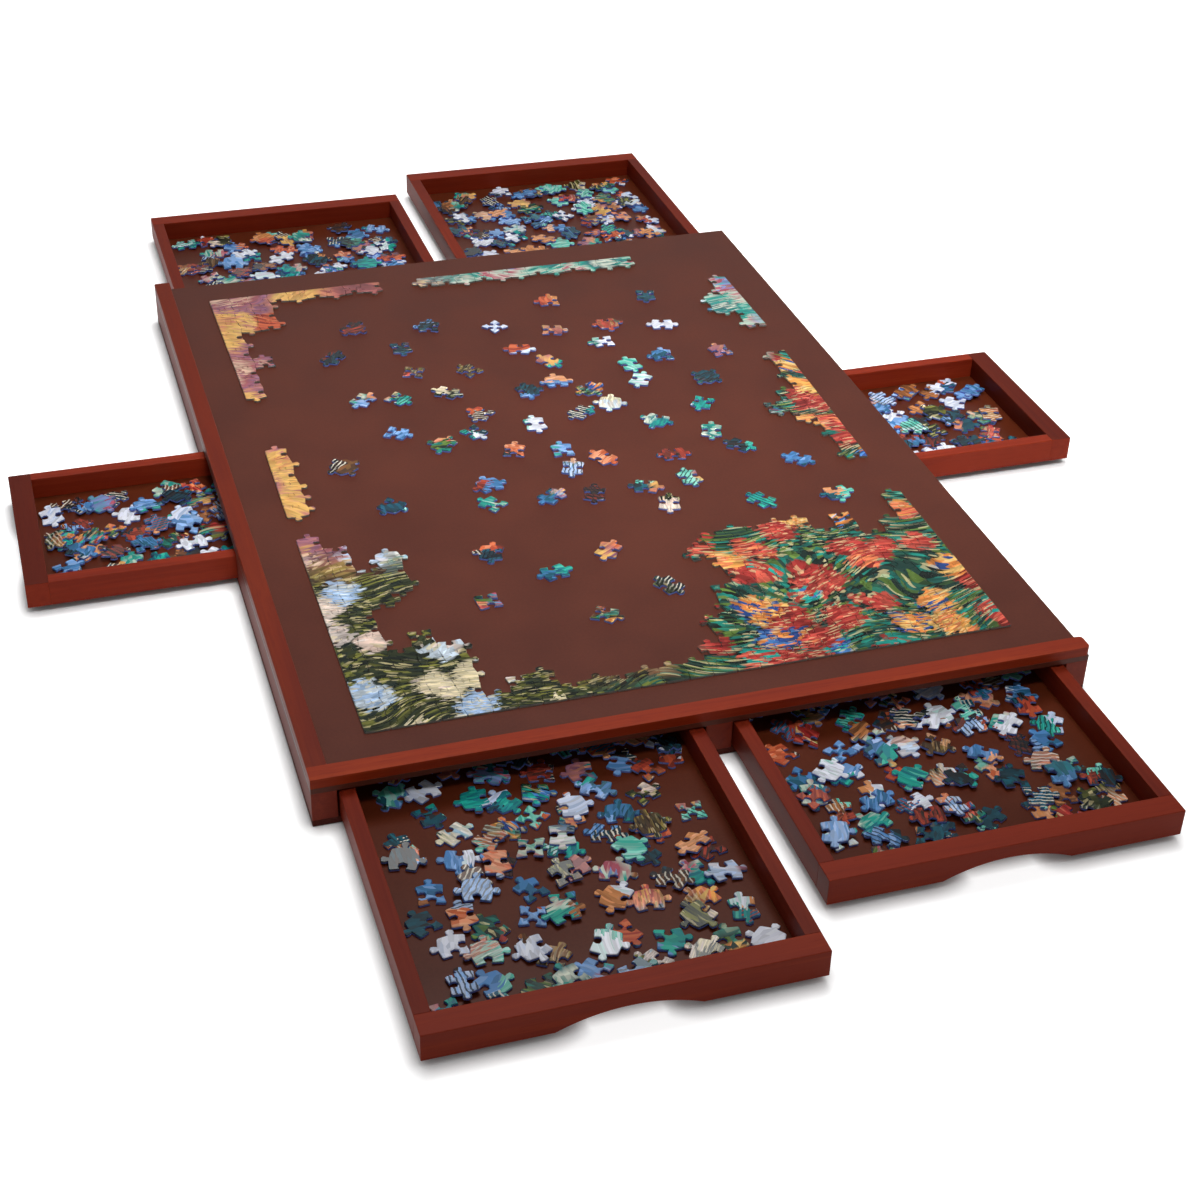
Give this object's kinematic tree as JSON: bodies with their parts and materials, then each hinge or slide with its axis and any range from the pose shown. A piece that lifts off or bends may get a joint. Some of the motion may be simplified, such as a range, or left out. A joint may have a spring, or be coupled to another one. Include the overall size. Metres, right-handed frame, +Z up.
{
  "type": "jigsaw puzzle board",
  "caption": "Flat wooden jigsaw puzzle board: a smooth dark work panel with rim strips on its front and left edges, over shallow sorting drawers that slide out on every side.",
  "frame": {"origin": "centre of the base board's underside, on the surface that the board stands on", "axes": "+X to the right and +Y away from the front edge, +Z up; the front and left edges carry the rim strips"},
  "size_m": [0.897, 1.259, 0.04],
  "materials": {
    "panel_stain": "dark brown satin hardboard",
    "base_board_stain": "dark brown matt hardboard",
    "rim_stain": "mahogany stain with a satin lacquer",
    "frame_stain": "mahogany stain with a satin lacquer",
    "drawer_stain": "mahogany stain with a satin lacquer",
    "drawer_floor_stain": "dark brown satin hardboard",
    "dowel_beech": "bare beech",
    "screw_zinc": "zinc plated"
  },
  "bodies": {
    "board": {"base_board": "base_board_stain", "top_panel": "panel_stain", "front_rim": "rim_stain", "left_rim": "rim_stain", "left_front_rail": "frame_stain", "left_back_rail": "frame_stain", "right_front_rail": "frame_stain", "right_back_rail": "frame_stain", "front_divider": "frame_stain", "back_divider": "frame_stain", "front_cross_rail": "frame_stain", "back_cross_rail": "frame_stain", "spine": "frame_stain", "frame_dowels": "dowel_beech", "base_screws": "screw_zinc"},
    "front_left_drawer": {"front_left_drawer_front": "drawer_stain", "front_left_drawer_left_side": "drawer_stain", "front_left_drawer_right_side": "drawer_stain", "front_left_drawer_back": "drawer_stain", "front_left_drawer_floor": "drawer_floor_stain", "front_left_drawer_dowels": "dowel_beech"},
    "front_right_drawer": {"front_right_drawer_front": "drawer_stain", "front_right_drawer_left_side": "drawer_stain", "front_right_drawer_right_side": "drawer_stain", "front_right_drawer_back": "drawer_stain", "front_right_drawer_floor": "drawer_floor_stain", "front_right_drawer_dowels": "dowel_beech"},
    "back_left_drawer": {"back_left_drawer_front": "drawer_stain", "back_left_drawer_left_side": "drawer_stain", "back_left_drawer_right_side": "drawer_stain", "back_left_drawer_back": "drawer_stain", "back_left_drawer_floor": "drawer_floor_stain", "back_left_drawer_dowels": "dowel_beech"},
    "back_right_drawer": {"back_right_drawer_front": "drawer_stain", "back_right_drawer_left_side": "drawer_stain", "back_right_drawer_right_side": "drawer_stain", "back_right_drawer_back": "drawer_stain", "back_right_drawer_floor": "drawer_floor_stain", "back_right_drawer_dowels": "dowel_beech"},
    "left_drawer": {"left_drawer_front": "drawer_stain", "left_drawer_left_side": "drawer_stain", "left_drawer_right_side": "drawer_stain", "left_drawer_back": "drawer_stain", "left_drawer_floor": "drawer_floor_stain", "left_drawer_dowels": "dowel_beech"},
    "right_drawer": {"right_drawer_front": "drawer_stain", "right_drawer_left_side": "drawer_stain", "right_drawer_right_side": "drawer_stain", "right_drawer_back": "drawer_stain", "right_drawer_floor": "drawer_floor_stain", "right_drawer_dowels": "dowel_beech"}
  },
  "joints": [
    {"name": "front_left_drawer_slide", "type": "slide", "parent": "board", "child": "front_left_drawer", "axis": [0, -1, 0], "range_m": [-0.233, 0.023]},
    {"name": "front_right_drawer_slide", "type": "slide", "parent": "board", "child": "front_right_drawer", "axis": [0, -1, 0], "range_m": [-0.173, 0.083]},
    {"name": "back_left_drawer_slide", "type": "slide", "parent": "board", "child": "back_left_drawer", "axis": [0, 1, 0], "range_m": [-0.189, 0.067]},
    {"name": "back_right_drawer_slide", "type": "slide", "parent": "board", "child": "back_right_drawer", "axis": [0, 1, 0], "range_m": [-0.239, 0.017]},
    {"name": "left_drawer_slide", "type": "slide", "parent": "board", "child": "left_drawer", "axis": [-1, 0, 0], "range_m": [-0.162, 0.087]},
    {"name": "right_drawer_slide", "type": "slide", "parent": "board", "child": "right_drawer", "axis": [1, 0, 0], "range_m": [-0.151, 0.098]}
  ]
}
